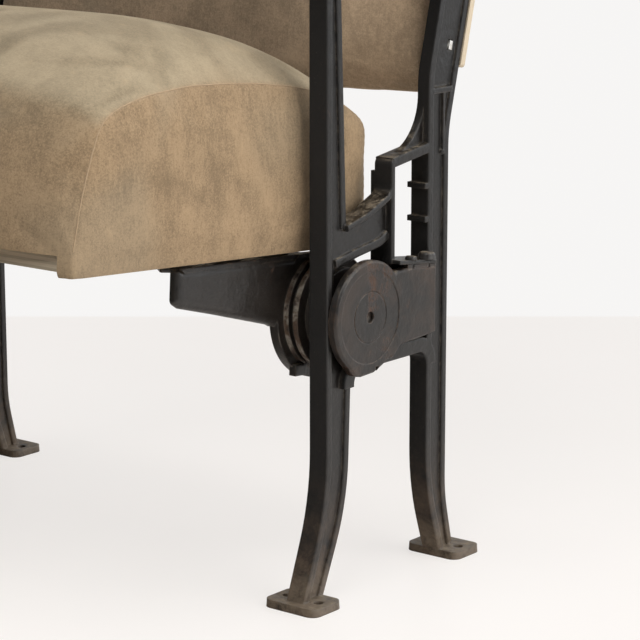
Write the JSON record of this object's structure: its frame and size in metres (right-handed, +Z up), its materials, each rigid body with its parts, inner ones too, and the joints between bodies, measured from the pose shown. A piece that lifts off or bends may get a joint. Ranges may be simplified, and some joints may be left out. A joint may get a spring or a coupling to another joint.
{
  "type": "tip-up auditorium seat",
  "caption": "Tip-up auditorium seat: cast iron standards with wooden armrests, a crowned velvet cushion tipping on drum hinges, and a raked padded back on bent plywood.",
  "frame": {"origin": "on the floor, at the centre of the rectangle of the outer foot bolts, midway between the two standards", "axes": "+X to the sitter's left, +Y to the rear, +Z up"},
  "size_m": [0.628, 0.5933, 0.8071],
  "materials": {
    "iron_enamel": "satin near-black paint on rough iron, worn brown on the edges, dusty on the ledges",
    "iron_worn": "worn satin near-black paint with brown rust on the drum's rims",
    "steel_hardware": "dull zinc plate, slightly tarnished",
    "bush_bronze": "oiled bronze",
    "stop_rubber": "matt black",
    "armrest_wood": "dark stained wood, satin varnish",
    "plywood": "pale unfinished plywood",
    "plywood_back": "dark stained plywood, satin varnish",
    "velvet": "olive-brown upholstery velvet with a short brushed nap",
    "velvet_back": "olive-brown upholstery velvet with a short brushed nap",
    "stuffing": "coarse stuffing under the velvet"
  },
  "bodies": {
    "frame": {"left_standard": "iron_enamel", "left_hinge_cover": "iron_enamel", "left_cover_bolts": "steel_hardware", "left_hinge_disc": "iron_worn", "left_disc_rivets": "steel_hardware", "left_stop_buffers": "stop_rubber", "left_pivot_bolt": "steel_hardware", "left_pivot_washer": "steel_hardware", "left_pivot_nut": "steel_hardware", "left_armrest": "armrest_wood", "left_armrest_screws": "steel_hardware", "right_standard": "iron_enamel", "right_hinge_cover": "iron_enamel", "right_cover_bolts": "steel_hardware", "right_hinge_disc": "iron_worn", "right_disc_rivets": "steel_hardware", "right_stop_buffers": "stop_rubber", "right_pivot_bolt": "steel_hardware", "right_pivot_washer": "steel_hardware", "right_pivot_nut": "steel_hardware", "right_armrest": "armrest_wood", "right_armrest_screws": "steel_hardware", "backboard": "plywood_back", "back_pad_board": "plywood", "back_cover": "velvet_back", "back_filling": "stuffing", "back_screws": "steel_hardware", "back_bolts": "steel_hardware", "back_nuts": "steel_hardware"},
    "seat": {"left_seat_arm": "iron_worn", "left_seat_arm_screws": "steel_hardware", "left_pivot_bush": "bush_bronze", "right_seat_arm": "iron_worn", "right_seat_arm_screws": "steel_hardware", "right_pivot_bush": "bush_bronze", "seat_board": "plywood", "seat_cover": "velvet", "seat_filling": "stuffing", "seat_studs": "steel_hardware"}
  },
  "joints": [
    {"name": "seat_tip", "type": "hinge", "parent": "frame", "child": "seat", "pos_m": [0, -0.032, 0.2465], "axis": [-1, 0, 0], "range_deg": [0, 43]}
  ]
}
